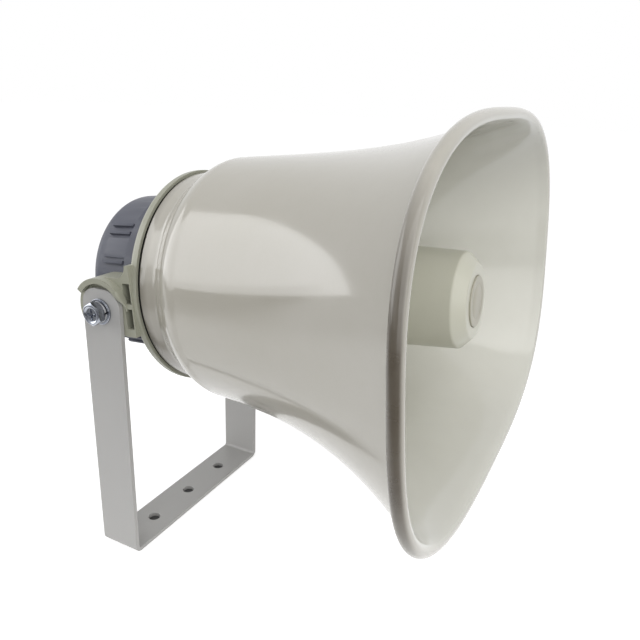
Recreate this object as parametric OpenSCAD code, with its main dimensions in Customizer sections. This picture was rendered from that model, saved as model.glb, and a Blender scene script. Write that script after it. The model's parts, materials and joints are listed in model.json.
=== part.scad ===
// Reflex horn loudspeaker: rectangular moulded bell with a centre reflector,
// a compression driver behind it and a steel U bracket that it tilts in.
// Origin: middle of the bracket's underside. +X is the way the horn points, +Z is up.

/* [Bell] */
// Width of the mouth over its rolled rim
mouth_w = 310; // [270:1:340]
// Height of the mouth over its rolled rim
mouth_h = 205; // [190:1:250]
// Distance from the tilt bolts forward to the rim
mouth_reach = 224; // [205:1:260]
// Squareness of the mouth, 2 gives an ellipse
mouth_square = 2.9; // [2.2:0.1:3.4]
// Wall of the bell
bell_t = 2.8; // [2:0.2:3.6]
// Radius of the rolled bead along the rim
rim_r = 3.4; // [3:0.2:6]
// Length of the round collar behind the shoulder
collar_len = 13; // [8:1:24]
// Length of the curve from the collar up to the body
shoulder_len = 20; // [14:1:26]
// How far the body stands out from the collar
shoulder_rise = 9.5; // [6:0.5:12]
// Straight part of the sideways flare
side_spread = 34; // [20:1:44]
// Power of the sideways flare
side_power = 2.7; // [2:0.1:4]
// Straight part of the upward flare
top_spread = 5.2; // [2:0.2:10]
// Power of the upward flare
top_power = 3.5; // [2.5:0.1:5]

/* [Flange ring] */
// How far the ring stands out from the rear cover
ring_step = 14.2; // [12:0.2:18]
// Thickness of the ring
flange_t = 6; // [5:0.5:8]
// Distance from the tilt bolts forward to the ring's front face
flange_front = 26; // [25:0.5:30]
// Height of the horn's axis above the tilt bolts
axis_rise = 7; // [4:0.5:10]
// Step from the ring in to the collar
collar_step = 1.3; // [1:0.1:2]
// Thickness of the bell gasket
gasket_t = 1.5; // [1:0.1:2]

/* [Bracket] */
// Width of the steel strap
strap_w = 30; // [26:1:32]
// Thickness of the steel strap
strap_t = 3; // [2:0.5:4]
// Height of the tilt bolts above the mounting surface
bolt_h = 175; // [165:1:200]
// Gap between the ring and each arm
arm_gap = 1.2; // [0.8:0.1:2]
// Distance between the mounting holes
hole_pitch = 40; // [30:1:48]
// Diameter of a mounting hole
hole_d = 8.5; // [6.5:0.5:10]
// Radius of the corners at the arm's end
arm_corner = 11; // [9:0.5:12]
// Upward tilt of the horn at rest, in degrees
rest_tilt = 4.7; // [0:0.1:10]

/* [Driver] */
// Clearance between the driver's front plate and the bore of the flange ring
plate_gap = 8.6; // [8:0.2:10]
// How far the magnet stays inside the front plate
magnet_inset = 7.5; // [7:0.5:10]
// Thickness of the ring magnet
magnet_t = 15; // [12:0.5:16]
// Distance from the voice coil out to the magnet's rim
coil_inset = 15.5; // [14.5:0.5:17]
// Radius of the throat where it leaves the driver
throat_r = 9; // [7:0.5:10]

/* [Rear cover] */
// Radius of the cover's front band
cover_r = 56.6; // [50:0.2:60]
// Depth of the cover behind the tilt bolts
cover_back = 31; // [28:0.5:36]
// Wall of the cover
cover_t = 2.5; // [2:0.1:3]

/* [Reflector] */
// Radius of the cup where its chamfer starts
cup_r = 27.5; // [25:0.5:30]
// Radius of the cup at its open back end
cup_back_r = 34; // [32:0.5:38]
// Distance of the cup's front face behind the rim
cup_inset = 14; // [10:1:20]

/* [Hidden] */
$fn = 96;
eps = 0.01;
face_gap = 0.3;
bell_sides = 72;
body_steps = 14;
bead_steps = 8;
curve_steps = 6;

// Sizes that follow the rear cover, from the outside inward
flange_r = cover_r + ring_step;
skirt_gap = 1.3;
skirt_r = cover_r - cover_t - skirt_gap;
skirt_t = 4.2;
bore_r = skirt_r - skirt_t;
plate_r = bore_r - plate_gap;
magnet_r = plate_r - magnet_inset;
coil_r = magnet_r - coil_inset;

// Bell
collar_r = flange_r - collar_step;
bell_back = flange_front + gasket_t;
collar_end = bell_back + collar_len;
body_start = collar_end + shoulder_len;
body_r = collar_r + shoulder_rise;
bead_s = mouth_reach - rim_r;
wall_out = rim_r * 1.5;
lip_t = 3;
lip_in = 5;
lip_r = collar_r - lip_in;

// Flange ring and ears
flange_back = flange_front - flange_t;
ring_edge = 3;
edge_steps = 5;
skirt_back = 9;
boss_step = 0.5;
ear_face = flange_r + arm_gap - face_gap;
ear_in = cover_r + 1.2;
hood_in = 17.4;
hood_t = 3.4;
hood_r = hood_in + hood_t;
hood_out = 1.3;
hood_from = 38;
hood_to = 142;
ear_fillet = 8;
fillet_steps = 6;
ear_low = 15.5;
pocket_s = 5.4;
pocket_z = 12.6;
pocket_deep = 9;
pocket_from = 16.8;
pocket_mid = 3.8;
pocket_rib = 3.2;
flange_screw_n = 6;
screw_r = 1.9;
screw_gap = 0.2;

// Bracket
arm_in = flange_r + arm_gap;
arm_out = arm_in + strap_t;
bend_r = 2;
arm_top = 14;

// Bolts
bolt_r = 4;
bolt_gap = 0.05;
bolt_af = 13;
bolt_head_t = 5;
flat_r = 8.2;
flat_t = 1.3;
spring_r = 6.9;
spring_t = 1.9;
nut_t = 6.4;
nut_gap = 0.2;
bolt_tip = ear_in + 0.4;

// Throat horn
disc_r = lip_r - 0.5;
screw_pcr = disc_r - 3.8;
disc_front = bell_back + lip_t;
clamp_t = 2.8;
clamp_r = collar_r - bell_t - face_gap;
tube_t = 2.2;
tube_inset = 46;
tube_end = mouth_reach - tube_inset;
tube_end_r = 15.5;
tube_root = 8;
root_steps = 6;
boss_r = 4.2;
boss_len = 12;
spider_t = 2;
spider_len = 14;
hub_r = 6;
hub_sink = 1;
hub_end = tube_end - hub_sink;
hub_back = hub_end - spider_len;

// Cup
cup_front = mouth_reach - cup_inset;
cup_chamfer = 6.6;
cup_way = 32;
cup_back = disc_front + cup_way;
cup_t = 2.4;
cap_r = 14.5;
cap_deep = 1.5;
cap_up = 0.8;
cup_screw_r = 2.5;
cup_head_r = 4.6;
cup_head_t = 3;
screw_floor = 3;
screw_foot = 2;
core_step = 6;
core_drop = 8;
head_room = 0.5;
cup_seat = cup_front - cap_deep - cup_head_t - head_room;

// Driver
plate_t = 6;
plate_back = flange_front - plate_t;
mouth_r = coil_r + 1;
plug_gap = 1.3;
plug_seat = 0.1;
dome_h = 3;
dia_t = 0.5;
dia_rim = coil_r + 9;
clamp_ring_t = 4;
ring_back = plate_back - dia_t - clamp_ring_t;
top_t = 5;
top_back = ring_back - top_t;
magnet_back = top_back - magnet_t;
yoke_t = 5;
coil_t = 0.5;
coil_len = 9.5;
coil_gap = 0.5;
driver_pcr = plate_r - 3.4;
head_r = 3;
head_t = 2.4;

// Cover
band_len = 17;
cover_step = 2.4;
cover_fillet = 9;
cover_taper = 1.2;
seal_t = 0.8;
cover_front = flange_back - seal_t;
cover_pcr = cover_r - 11.6;
recess_r = cover_pcr - 12;
recess_deep = 0.8;
rib_len = 17;
rib_w = 2.2;
rib_up = 1.5;
panel_from = 22.5;
panel_to = 36;
panel_up = 0.7;
pad_r = 10.5;
gland_z = 19 - cover_pcr;
gland_hole_r = 6.1;
gland_r = 9;
gland_bore = 3.6;

module horn() {
    translate([0, 0, bolt_h]) rotate([0, -rest_tilt, 0]) children();
}

// Turns shapes made about Z into shapes about the horn's axis, with Z running forward.
module on_axis() {
    translate([0, 0, axis_rise]) rotate([0, 90, 0]) children();
}

// Copies a child around the horn's axis, starting away from the vertical by the first angle.
module around(count, first, radius) {
    for (i = [0:count - 1]) {
        rotate([0, 0, first + i * 360 / count]) translate([radius, 0, 0]) children();
    }
}

module tube(r_out, r_in, from, to) {
    translate([0, 0, from]) difference() {
        cylinder(r = r_out, h = to - from);
        translate([0, 0, -1]) cylinder(r = r_in, h = to - from + 2);
    }
}

module hexagon(across, height) {
    cylinder(r = across / sqrt(3), h = height, $fn = 6);
}

// Faces outward along Y on the given side, at the tilt bolt's axis.
module at_bolt(side, from) {
    mirror([0, side < 0 ? 1 : 0, 0]) translate([0, from, 0]) rotate([-90, 0, 0]) children();
}

// One ring of points of the bell: half width a, half height b, squareness n.
function bell_ring(s, a, b, n) = [for (i = [0:bell_sides - 1])
    let (u = i * 360 / bell_sides,
        q = pow(pow(abs(cos(u)) / a, n) + pow(abs(sin(u)) / b, n), -1 / n))
    [s, q * cos(u), axis_rise + q * sin(u)]];

// Half width, half height and squareness of the body's outside at share t of its length.
function body_a(t) = body_r + side_spread * t
    + (mouth_w / 2 - wall_out - body_r - side_spread) * pow(t, side_power);
function body_b(t) = body_r + top_spread * t
    + (mouth_h / 2 - wall_out - body_r - top_spread) * pow(t, top_power);
function body_n(t) = 2 + (mouth_square - 2) * pow(t, 1.5);
body_end = bead_s - rim_r * 0.6;
function body_s(t) = body_start + (body_end - body_start) * t;

// The stations run forward along the outside, round the bead, and back along the inside.
function round_station(s, r) = [s, r, r, 2];
function shoulder(t) = collar_r + shoulder_rise * sin(90 * t);
outer_stations = concat(
    [round_station(bell_back, lip_r), round_station(bell_back, collar_r - 0.8)],
    [round_station(bell_back + 0.8, collar_r), round_station(collar_end, collar_r)],
    [for (i = [1:curve_steps - 1])
        round_station(collar_end + shoulder_len * i / curve_steps, shoulder(i / curve_steps))],
    [for (i = [0:body_steps]) let (t = i / body_steps) [body_s(t), body_a(t), body_b(t), body_n(t)]]
);
bead_stations = [for (i = [0:bead_steps])
    let (f = 155 - i * 205 / bead_steps, d = rim_r * sin(f) - rim_r)
    [bead_s + rim_r * cos(f), mouth_w / 2 + d, mouth_h / 2 + d, mouth_square]];
inner_stations = concat(
    [for (i = [body_steps:-1:0]) let (t = i / body_steps)
        [body_s(t), body_a(t) - bell_t, body_b(t) - bell_t, body_n(t)]],
    [for (i = [curve_steps - 1:-1:1])
        round_station(collar_end + shoulder_len * i / curve_steps + bell_t * 0.3,
            shoulder(i / curve_steps) - bell_t)],
    [round_station(collar_end, collar_r - bell_t)],
    [round_station(bell_back + lip_t, collar_r - bell_t), round_station(bell_back + lip_t, lip_r)]
);

module bell() {
    stations = concat(outer_stations, bead_stations, inner_stations);
    k = len(stations);
    m = bell_sides;
    points = [for (q = stations) each bell_ring(q[0], q[1], q[2], q[3])];
    faces = [for (i = [0:k - 1]) for (j = [0:m - 1])
        let (p = ((i + 1) % k) * m, a = i * m + j, b = i * m + (j + 1) % m, c = p + (j + 1) % m, d = p + j)
        each [[a, d, c], [a, c, b]]];
    color([0.83, 0.82, 0.78]) horn() polyhedron(points, faces, convexity = 6);
}

module bell_gasket() {
    color([0.1, 0.1, 0.1]) horn() on_axis()
        tube(collar_r - 0.6, lip_r, flange_front, bell_back);
}

// Side outline of an ear, about the bolt: a round end, run forward to the ring and
// swept up into it by a fillet.
module ear_outline() {
    ear_end = flange_front - ring_edge;
    intersection() {
        union() {
            circle(r = hood_r);
            translate([0, -hood_r]) square([ear_end, 2 * hood_r]);
        }
        translate([-hood_r, -ear_low]) square([hood_r + flange_front, ear_low + hood_r]);
    }
    polygon(concat([[ear_end, hood_r - 1], [ear_end, hood_r + ear_fillet]],
        [for (i = [0:fillet_steps]) let (f = 90 * i / fillet_steps)
            [flange_back - ear_fillet * (1 - cos(f)), hood_r + ear_fillet * (1 - sin(f))]],
        [[flange_back - ear_fillet, hood_r - 1]]));
}

// Ring sector that hoods the arm's round end.
module hood_outline() {
    difference() {
        circle(r = hood_r);
        circle(r = hood_in);
        rotate(hood_from) translate([0, -2 * hood_r]) square([2 * hood_r, 2 * hood_r]);
        rotate(hood_to) square([2 * hood_r, 2 * hood_r]);
        translate([-hood_r, -2 * hood_r]) square([2 * hood_r, 2 * hood_r + hood_in * sin(hood_from)]);
    }
}

module ear(side) {
    mirror([0, side < 0 ? 1 : 0, 0]) {
        translate([0, ear_face, 0]) rotate([90, 0, 0]) linear_extrude(ear_face - ear_in) ear_outline();
        translate([0, arm_out + hood_out, 0]) rotate([90, 0, 0])
            linear_extrude(arm_out + hood_out - ear_face + 1) hood_outline();
    }
}

// Bolt hole, hexagon for the captive nut and the two moulded pockets of an ear.
module ear_cuts(side) {
    at_bolt(side, 0) cylinder(r = bolt_r + screw_gap, h = 2 * flange_r);
    at_bolt(side, ear_in - 1) rotate([0, 0, 30]) hexagon(bolt_af + 2 * nut_gap, nut_t + nut_gap + 1);
    for (z = [pocket_mid + pocket_rib / 2, pocket_mid - pocket_rib / 2 - pocket_z]) {
        mirror([0, side < 0 ? 1 : 0, 0]) translate([pocket_from, ear_face - pocket_deep, z])
            cube([pocket_s, pocket_deep + 1, pocket_z]);
    }
}

module flange_ring() {
    color([0.68, 0.69, 0.6]) horn() difference() {
        union() {
            on_axis() rotate_extrude() polygon(concat(
                [[bore_r, skirt_back], [skirt_r, skirt_back], [skirt_r, flange_back]],
                [for (i = [0:edge_steps]) let (f = 90 * i / edge_steps)
                    [flange_r - ring_edge * (1 - sin(f)), flange_back + ring_edge * (1 - cos(f))]],
                [[flange_r, flange_front], [bore_r, flange_front]]
            ));
            on_axis() around(4, 45, cover_pcr)
                translate([0, 0, skirt_back - boss_step])
                cylinder(r = boss_r, h = flange_front - skirt_back);
            ear(1);
            ear(-1);
        }
        on_axis() around(4, 45, cover_pcr)
            translate([0, 0, skirt_back - 2]) cylinder(r = screw_r + eps, h = flange_front);
        on_axis() around(flange_screw_n, 0, screw_pcr)
            translate([0, 0, flange_back - 1]) cylinder(r = screw_r + screw_gap, h = flange_t + 2);
        ear_cuts(1);
        ear_cuts(-1);
    }
}

module pan_screw(shank, length, head, height) {
    cylinder(r = shank, h = length);
    translate([0, 0, -height]) cylinder(r1 = head * 0.8, r2 = head, h = height);
}

module flange_screws() {
    color([0.75, 0.76, 0.78]) horn() on_axis() around(flange_screw_n, 0, screw_pcr)
        translate([0, 0, flange_back]) pan_screw(screw_r, flange_t + boss_len - 2, 3.4, head_t);
}

// Disc, throat tube and spider in one moulding; the horn's first stage.
module throat_horn() {
    dish = disc_front + clamp_t;
    tube_r = throat_r + tube_t + 2;
    color([0.8, 0.79, 0.74]) horn() on_axis() difference() {
        union() {
            rotate_extrude() polygon(concat(
                [[throat_r, flange_front], [disc_r, flange_front], [disc_r, disc_front]],
                [[clamp_r, disc_front], [clamp_r, dish]],
                [for (i = [0:root_steps]) let (f = 90 * i / root_steps)
                    [tube_r + tube_root * (1 - sin(f)), dish + 2 * tube_root * (1 - cos(f))]],
                [[tube_end_r + tube_t, tube_end], [tube_end_r, tube_end]]
            ));
            around(flange_screw_n, 0, screw_pcr)
                translate([0, 0, disc_front]) cylinder(r = boss_r - 0.4, h = boss_len + flange_front - disc_front);
            translate([0, 0, hub_back]) cylinder(r = hub_r, h = spider_len);
            for (i = [0:2]) {
                rotate([0, 0, 90 + i * 120]) translate([0, -spider_t / 2, hub_back])
                    cube([tube_end_r + tube_t / 2, spider_t, spider_len]);
            }
        }
        translate([0, 0, hub_back + screw_floor]) cylinder(r = cup_screw_r, h = spider_len);
        around(flange_screw_n, 0, screw_pcr)
            translate([0, 0, flange_front - 1]) cylinder(r = screw_r + eps, h = boss_len - 1);
        around(4, 45, driver_pcr)
            translate([0, 0, flange_front - 1]) cylinder(r = screw_r + eps, h = 5);
    }
}

// Slope of the cup's outside, so that the inside keeps the same wall all along.
function cup_out(s) = cup_r + (cup_back_r - cup_r) * (cup_front - cup_chamfer - s) / (cup_front - cup_chamfer - cup_back);

module reflector_cup() {
    edge = cup_front - cup_chamfer;
    floor_s = cup_front - cap_deep - cup_t;
    core = cup_front - hub_end;
    color([0.8, 0.79, 0.74]) horn() on_axis() difference() {
        rotate_extrude() polygon([
            [0, cup_front], [cup_r - cup_chamfer, cup_front], [cup_r, edge], [cup_back_r, cup_back],
            [cup_back_r - cup_t, cup_back], [cup_out(edge) - cup_t, edge],
            [cup_r - cup_chamfer - cup_t, floor_s], [hub_r + core_step, floor_s],
            [hub_r, floor_s - core_drop], [hub_r, hub_end], [0, hub_end]
        ]);
        translate([0, 0, hub_end - hub_sink]) cylinder(r = cup_screw_r + screw_gap, h = core);
        translate([0, 0, cup_seat]) cylinder(r = cup_head_r + 2 * screw_gap, h = core);
        translate([0, 0, cup_front - cap_deep]) cylinder(r = cap_r + screw_gap, h = core);
    }
}

module cup_screw() {
    foot = hub_back + screw_floor + screw_foot;
    color([0.75, 0.76, 0.78]) horn() on_axis() {
        translate([0, 0, cup_seat]) cylinder(r = cup_head_r, h = cup_head_t);
        translate([0, 0, foot]) cylinder(r = cup_screw_r - eps, h = cup_seat - foot);
    }
}

module cup_cap() {
    color([0.82, 0.81, 0.75]) horn() on_axis() translate([0, 0, cup_front - cap_deep]) {
        cylinder(r = cap_r, h = cap_deep + cap_up - 0.5);
        translate([0, 0, cap_deep + cap_up - 0.5]) cylinder(r1 = cap_r, r2 = cap_r - 0.5, h = 0.5);
    }
}

module driver_plate() {
    color([0.7, 0.71, 0.72]) horn() on_axis() difference() {
        translate([0, 0, plate_back]) cylinder(r = plate_r, h = plate_t);
        translate([0, 0, plate_back - eps])
            cylinder(r1 = mouth_r, r2 = throat_r, h = plate_t + 2 * eps);
        around(4, 45, driver_pcr)
            translate([0, 0, plate_back - 1]) cylinder(r = screw_r + screw_gap, h = plate_t + 2);
    }
}

// Radius of the driver's conical mouth at a height above the plate's back.
function plug_wall(h) = mouth_r + (throat_r - mouth_r) * h / plate_t;

module phase_plug() {
    low = dome_h + 0.4;
    color([0.25, 0.25, 0.27]) horn() on_axis() translate([0, 0, plate_back + low]) union() {
        cylinder(r1 = plug_wall(low) - plug_gap, r2 = plug_wall(plate_t) - plug_gap - 2, h = plate_t - low);
        intersection() {
            cylinder(r1 = plug_wall(low) - plug_seat, r2 = plug_wall(plate_t) - plug_seat, h = plate_t - low);
            for (i = [0:2]) {
                rotate([0, 0, i * 120]) translate([0, -0.6, 0]) cube([coil_r, 1.2, plate_t]);
            }
        }
    }
}

// Domed diaphragm with a flat rim that is clamped behind the plate.
module diaphragm() {
    dome_r = (coil_r * coil_r + dome_h * dome_h) / (2 * dome_h);
    base = plate_back - dia_t;
    color([0.78, 0.6, 0.36]) horn() on_axis() rotate_extrude() union() {
        translate([coil_r - 2, base]) square([dia_rim - coil_r + 2, dia_t]);
        intersection() {
            translate([0, base + dome_h - dome_r]) difference() {
                circle(r = dome_r);
                circle(r = dome_r - dia_t);
            }
            translate([0, base]) square([coil_r, 2 * dome_h]);
        }
    }
}

module voice_coil() {
    color([0.72, 0.42, 0.2]) horn() on_axis()
        tube(coil_r + coil_t, coil_r, plate_back - dia_t - coil_len, plate_back - dia_t);
}

module clamp_ring() {
    color([0.2, 0.2, 0.22]) horn() on_axis()
        tube(magnet_r + 0.5, coil_r + coil_t + 2, ring_back, plate_back - dia_t);
}

module top_plate() {
    color([0.6, 0.61, 0.63]) horn() on_axis()
        tube(magnet_r, coil_r + coil_t + coil_gap, top_back, ring_back);
}

module magnet() {
    color([0.22, 0.22, 0.24]) horn() on_axis()
        tube(magnet_r, coil_r + coil_t + 4, magnet_back, top_back);
}

module back_plate() {
    color([0.6, 0.61, 0.63]) horn() on_axis() union() {
        translate([0, 0, magnet_back - yoke_t]) cylinder(r = magnet_r - 1, h = yoke_t);
        translate([0, 0, magnet_back - eps])
            cylinder(r = coil_r - coil_gap, h = ring_back - magnet_back + eps);
    }
}

module terminal_block() {
    color([0.16, 0.16, 0.17]) horn() translate([plate_back - 4, -8, axis_rise + magnet_r + 1.5])
        cube([4, 16, 4.5]);
}

module terminal_tabs() {
    color([0.8, 0.66, 0.35]) horn() for (y = [-4.5, 4.5]) {
        translate([plate_back - 11, y - 1.6, axis_rise + magnet_r + 3.4]) cube([7, 3.2, 0.8]);
    }
}

module driver_screws() {
    color([0.75, 0.76, 0.78]) horn() on_axis() around(4, 45, driver_pcr)
        translate([0, 0, plate_back]) pan_screw(screw_r, plate_t + 3.5, head_r, head_t);
}

// Bars on the cover's side, as angles from each ear: one under the flat panel, two above it.
rib_angles = [19.5, 39.8, 46];

module rear_cover() {
    body = cover_r - cover_step;
    tail = body - cover_taper;
    step_s = cover_front - band_len;
    color([0.38, 0.39, 0.43]) horn() difference() {
        union() {
            on_axis() rotate_extrude() difference() {
                union() {
                    translate([0, step_s]) square([cover_r, band_len]);
                    polygon([[0, step_s + eps], [cover_r, step_s + eps], [cover_r, step_s],
                        [body, step_s - cover_step], [tail, cover_fillet - cover_back],
                        [tail - cover_fillet, -cover_back], [0, -cover_back]]);
                    translate([tail - cover_fillet, cover_fillet - cover_back]) circle(r = cover_fillet);
                }
                translate([-2 * cover_r, -2 * cover_r]) square([2 * cover_r, 4 * cover_r]);
                polygon([[0, cover_front + 1], [cover_r - cover_t, cover_front + 1],
                    [cover_r - cover_t, step_s], [body - cover_t, step_s - cover_step],
                    [tail - cover_t, cover_fillet - cover_back],
                    [tail - cover_fillet, cover_t - cover_back], [0, cover_t - cover_back]]);
                translate([0, -cover_back - 1]) square([recess_r, recess_deep + 1]);
            }
            at_gland() translate([0, 0, -cover_t]) cylinder(r = pad_r, h = cover_t);
            on_axis() for (half = [0, 180]) for (side = [-1, 1]) for (a = rib_angles) {
                rotate([0, 0, 90 + half + side * a]) translate([tail - 1, -rib_w / 2, step_s - cover_step - rib_len])
                    cube([cover_step + rib_up, rib_w, rib_len]);
            }
            on_axis() for (turn = [panel_from, -panel_to, 180 + panel_from, 180 - panel_to]) {
                rotate([0, 0, 90 + turn]) translate([0, 0, step_s - cover_step - rib_len])
                    rotate_extrude(angle = panel_to - panel_from)
                    translate([tail - 1, 0]) square([1 + cover_taper + panel_up, rib_len + cover_step]);
            }
            on_axis() around(4, 45, cover_pcr)
                translate([0, 0, cover_t - cover_back - eps])
                cylinder(r = boss_r, h = skirt_back - boss_step - face_gap + cover_back - cover_t + eps);
        }
        on_axis() around(4, 45, cover_pcr) {
            translate([0, 0, -cover_back - 1]) cylinder(r = screw_r + screw_gap, h = 2 * cover_back);
            translate([0, 0, -cover_back - 1]) cylinder(r = 3.9, h = 1 + head_t + 0.6);
        }
        translate([-cover_back - 1, 0, axis_rise + gland_z]) rotate([0, 90, 0])
            cylinder(r = gland_hole_r, h = cover_t + 3);
    }
}

module cover_seal() {
    color([0.1, 0.1, 0.1]) horn() on_axis()
        tube(cover_r - 0.3, cover_r - cover_t, cover_front, flange_back);
}

module cover_screws() {
    seat = head_t + 0.6 - cover_back;
    color([0.75, 0.76, 0.78]) horn() on_axis() around(4, 45, cover_pcr)
        translate([0, 0, seat]) pan_screw(screw_r, flange_front - 1 - seat, 3.4, head_t);
}

// Gland shapes lie about their own axis, which points backward out of the cover.
module at_gland() {
    translate([-cover_back, 0, axis_rise + gland_z]) rotate([0, -90, 0]) children();
}

module gland_body() {
    color([0.15, 0.15, 0.16]) horn() at_gland() difference() {
        union() {
            translate([0, 0, -cover_t - 4.2]) cylinder(r = gland_hole_r - 0.2, h = cover_t + 4.2);
            hexagon(15, 3.5);
            translate([0, 0, 3.5]) cylinder(r = gland_r - 1.8, h = 6);
            translate([0, 0, 9.5]) cylinder(r1 = gland_r - 1.8, r2 = gland_bore + 1.4, h = 2.5);
        }
        translate([0, 0, -cover_t - 5]) cylinder(r = gland_bore + 0.2, h = 30);
        translate([0, 0, 3]) cylinder(r = gland_bore + 1.4, h = 6);
    }
}

module gland_nut() {
    color([0.15, 0.15, 0.16]) horn() at_gland() translate([0, 0, -cover_t - 3.2]) difference() {
        hexagon(15, 3.2);
        translate([0, 0, -1]) cylinder(r = gland_hole_r - 0.1, h = 6);
    }
}

module gland_seal() {
    color([0.08, 0.08, 0.08]) horn() at_gland() tube(gland_bore + 1.3, gland_bore, 3, 9);
}

module bolt(side) {
    head = arm_out + face_gap + flat_t + spring_t;
    color([0.72, 0.73, 0.75]) horn() union() {
        at_bolt(side, bolt_tip) cylinder(r = bolt_r, h = head - bolt_tip + eps);
        at_bolt(side, head) intersection() {
            hexagon(bolt_af, bolt_head_t);
            cylinder(r1 = bolt_af * 0.62 + 1, r2 = bolt_af * 0.5, h = bolt_head_t + 1.6);
        }
    }
}

module spring_washer(side) {
    color([0.66, 0.67, 0.69]) horn() at_bolt(side, arm_out + face_gap + flat_t) difference() {
        cylinder(r = spring_r, h = spring_t);
        translate([0, 0, -1]) cylinder(r = bolt_r + screw_gap, h = spring_t + 2);
        rotate([0, 0, 40]) translate([0, -0.5, -1]) cube([spring_r + 1, 1, spring_t + 2]);
    }
}

module flat_washer(side) {
    color([0.72, 0.73, 0.75]) horn() at_bolt(side, arm_out + face_gap) tube(flat_r, bolt_r + screw_gap, 0, flat_t);
}

module nut(side) {
    color([0.72, 0.73, 0.75]) horn() at_bolt(side, ear_in + nut_gap) difference() {
        rotate([0, 0, 30]) hexagon(bolt_af, nut_t - nut_gap);
        translate([0, 0, -1]) cylinder(r = bolt_r + eps, h = nut_t + 2);
    }
}

// Outline of an arm as seen from the side, from the bend up to the rounded end.
module arm_outline() {
    half = strap_w / 2;
    top = bolt_h + arm_top;
    translate([-half, strap_t + bend_r]) square([strap_w, top - arm_corner - strap_t - bend_r]);
    translate([arm_corner - half, top - arm_corner - eps]) square([strap_w - 2 * arm_corner, arm_corner + eps]);
    for (x = [-1, 1]) {
        translate([x * (half - arm_corner), top - arm_corner]) circle(r = arm_corner);
    }
}

module bracket() {
    flat = arm_in - bend_r;
    color([0.7, 0.7, 0.69]) difference() {
        union() {
            translate([-strap_w / 2, -flat, 0]) cube([strap_w, 2 * flat, strap_t]);
            for (side = [0, 1]) mirror([0, side, 0]) {
                translate([0, arm_out, 0]) rotate([90, 0, 0]) linear_extrude(strap_t) arm_outline();
                translate([-strap_w / 2, flat, strap_t + bend_r]) rotate([0, 90, 0]) difference() {
                    cylinder(r = strap_t + bend_r, h = strap_w);
                    translate([0, 0, -1]) cylinder(r = bend_r, h = strap_w + 2);
                    translate([-2 * arm_out, -2 * arm_out, -1]) cube([2 * arm_out, 4 * arm_out, strap_w + 2]);
                    translate([-arm_out, -2 * arm_out, -1]) cube([2 * arm_out, 2 * arm_out, strap_w + 2]);
                }
            }
        }
        translate([0, 2 * arm_out, bolt_h]) rotate([90, 0, 0]) cylinder(r = bolt_r + bolt_gap, h = 4 * arm_out);
        for (i = [-1:1]) {
            translate([0, i * hole_pitch, -1]) cylinder(d = hole_d, h = strap_t + 2);
        }
    }
}

bracket();
bell();
bell_gasket();
flange_ring();
flange_screws();
throat_horn();
reflector_cup();
cup_screw();
cup_cap();
driver_plate();
phase_plug();
diaphragm();
voice_coil();
clamp_ring();
top_plate();
magnet();
back_plate();
terminal_block();
terminal_tabs();
driver_screws();
rear_cover();
cover_seal();
cover_screws();
gland_body();
gland_nut();
gland_seal();
bolt(1);  // bolt_left
bolt(-1);  // bolt_right
spring_washer(1);  // spring_washer_left
spring_washer(-1);  // spring_washer_right
flat_washer(1);  // flat_washer_left
flat_washer(-1);  // flat_washer_right
nut(1);  // nut_left
nut(-1);  // nut_right
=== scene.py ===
# %% [markdown]
# # A horn loudspeaker in its U bracket
#
# An outdoor loudspeaker of this kind is a folded horn: a driver at the back sends
# its sound forward through a tube, a cup turns it round, and the wide bell carries
# it out. The exact solids come in as a fixed frame. Every piece made below sits
# where those solids are.

# %% Load the solids
import json
import math

import bmesh
import bpy
import numpy as np
from mathutils import Matrix


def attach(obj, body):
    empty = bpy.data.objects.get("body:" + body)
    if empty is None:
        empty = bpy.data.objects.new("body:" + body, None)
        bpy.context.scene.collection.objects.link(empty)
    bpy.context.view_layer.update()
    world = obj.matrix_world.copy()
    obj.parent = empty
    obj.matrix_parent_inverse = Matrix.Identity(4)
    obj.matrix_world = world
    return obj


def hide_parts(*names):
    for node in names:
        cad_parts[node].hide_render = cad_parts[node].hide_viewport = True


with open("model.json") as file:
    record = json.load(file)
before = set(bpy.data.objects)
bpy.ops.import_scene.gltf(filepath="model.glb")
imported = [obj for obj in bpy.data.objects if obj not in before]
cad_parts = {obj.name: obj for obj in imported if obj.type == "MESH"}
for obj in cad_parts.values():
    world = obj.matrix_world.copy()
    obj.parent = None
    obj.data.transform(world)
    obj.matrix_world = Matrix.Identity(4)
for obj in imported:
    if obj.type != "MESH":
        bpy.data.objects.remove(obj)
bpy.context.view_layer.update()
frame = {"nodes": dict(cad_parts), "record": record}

# %% [markdown]
# ## The camera
#
# A camera is a place, a direction and a lens. Three crossed unit vectors say which
# way is right, up and back for it, and they are the columns of its matrix. The lens
# length is the focal length in pixels, scaled from the picture's width to the
# sensor's width. A small roll is kept, since the picture was taken a little askew.

# %% Camera
MM = 0.001
PICTURE, SENSOR, FOCAL = 640, 36.0, 637.47
# Three angles in degrees, and the camera's place in mm along its own three directions.
AZIMUTH, ELEVATION, ROLL = 26.76, 19.68, 2.23
BACKWARD, ASIDE, ABOVE = 510.96, 105.32, 138.07


def camera_axes(azimuth, elevation, roll):
    """Right, up and back, where back points at the camera and right is level before the roll."""
    a, e, r = np.radians([azimuth, elevation, roll])
    back = np.array([np.sin(a) * np.cos(e), -np.cos(a) * np.cos(e), np.sin(e)])
    level = np.cross(-back, [0.0, 0.0, 1.0])
    level /= np.linalg.norm(level)
    above = np.cross(level, -back)
    right = level * np.cos(r) + above * np.sin(r)
    up = above * np.cos(r) - level * np.sin(r)
    return right, up, back


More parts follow.
